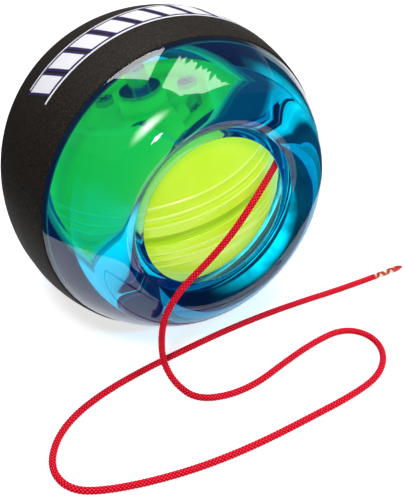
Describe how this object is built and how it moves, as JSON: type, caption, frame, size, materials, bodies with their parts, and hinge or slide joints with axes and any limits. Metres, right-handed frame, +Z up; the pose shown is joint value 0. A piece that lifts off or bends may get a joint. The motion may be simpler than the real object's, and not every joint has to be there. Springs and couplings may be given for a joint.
{
  "type": "gyroscopic wrist ball",
  "caption": "Hand-held gyroscopic exercise ball: a weighted rotor on an axle in a turning ring, inside a translucent shell with a rubber grip, with its starting cord.",
  "frame": {"origin": "on the floor under the middle of the ball's box, the ball lying on its side on its grip", "axes": "+Z up; -Y out of the round opening, +Y out of the flat base; +X to the right of someone who faces the opening"},
  "size_m": [0.0977, 0.0801, 0.0662],
  "materials": {
    "blue_shell": "translucent blue, polished",
    "grip_rubber": "matte, finely speckled, with a plain printed band",
    "cover_plastic": "satin",
    "race_steel": "ground",
    "ring_plastic": "satin white",
    "bush_bronze": "plain",
    "axle_steel": "ground",
    "rotor_green": "fluorescent yellow-green, moulded",
    "hub_plastic": "moulded",
    "flywheel_zinc": "die cast",
    "screw_steel": "zinc plated",
    "cord_red": "fine round braid",
    "cord_end": "clear, over gold and red"
  },
  "bodies": {
    "shell": {"front_shell": "blue_shell", "rear_shell": "blue_shell", "grip_sleeve": "grip_rubber", "base_cover": "cover_plastic", "front_race": "race_steel", "rear_race": "race_steel", "starter_cord": "cord_red", "cord_tip": "cord_end"},
    "ring": {"axle_ring": "ring_plastic", "axle_bush_left": "bush_bronze", "axle_bush_right": "bush_bronze"},
    "rotor": {"rotor_axle": "axle_steel", "rotor_hub": "hub_plastic", "string_band": "rotor_green", "rotor_cap_left": "rotor_green", "rotor_cap_right": "rotor_green", "flywheel_left": "flywheel_zinc", "flywheel_right": "flywheel_zinc", "end_washer_left": "screw_steel", "end_washer_right": "screw_steel", "rotor_screws": "screw_steel"}
  },
  "joints": [
    {"name": "ring_turn", "type": "hinge", "parent": "shell", "child": "ring", "pos_m": [0, -0.00282, 0.0331], "axis": [0, -1, 0], "continuous": true},
    {"name": "rotor_spin", "type": "hinge", "parent": "ring", "child": "rotor", "pos_m": [0, -0.00282, 0.0331], "axis": [-0.2419, 0, 0.9703], "continuous": true}
  ]
}
